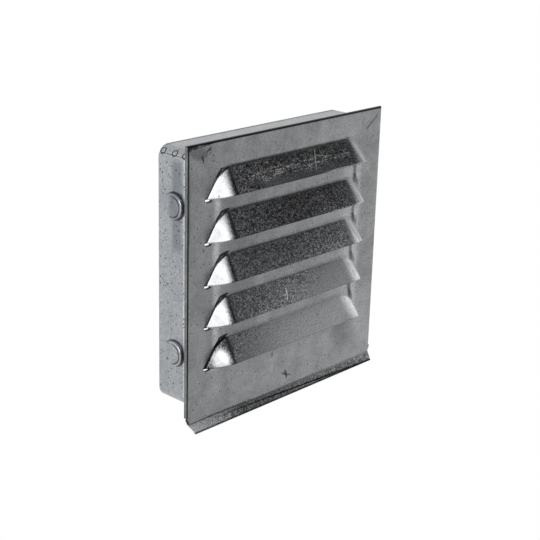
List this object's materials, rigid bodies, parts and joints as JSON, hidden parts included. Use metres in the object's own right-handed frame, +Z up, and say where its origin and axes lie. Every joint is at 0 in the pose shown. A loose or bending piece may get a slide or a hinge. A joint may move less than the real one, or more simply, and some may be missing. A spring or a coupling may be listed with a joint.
{
  "type": "louvred vent panel",
  "caption": "Square sheet metal wall vent: hooded louvres pressed in a hemmed face with a drip lip, and an open rounded sleeve behind it that goes into the wall.",
  "frame": {"origin": "centre of the sleeve, in the plane of the wall that the rear of the hems lies against", "axes": "+Y into the wall along the sleeve, +Z up, +X to the right seen from the front"},
  "size_m": [0.254, 0.0637, 0.2621],
  "materials": {
    "face_steel": "galvanised, dull spangle",
    "sleeve_steel": "galvanised, dull"
  },
  "bodies": {
    "root": {"louvred_face": "face_steel", "wall_sleeve": "sleeve_steel"}
  },
  "joints": []
}
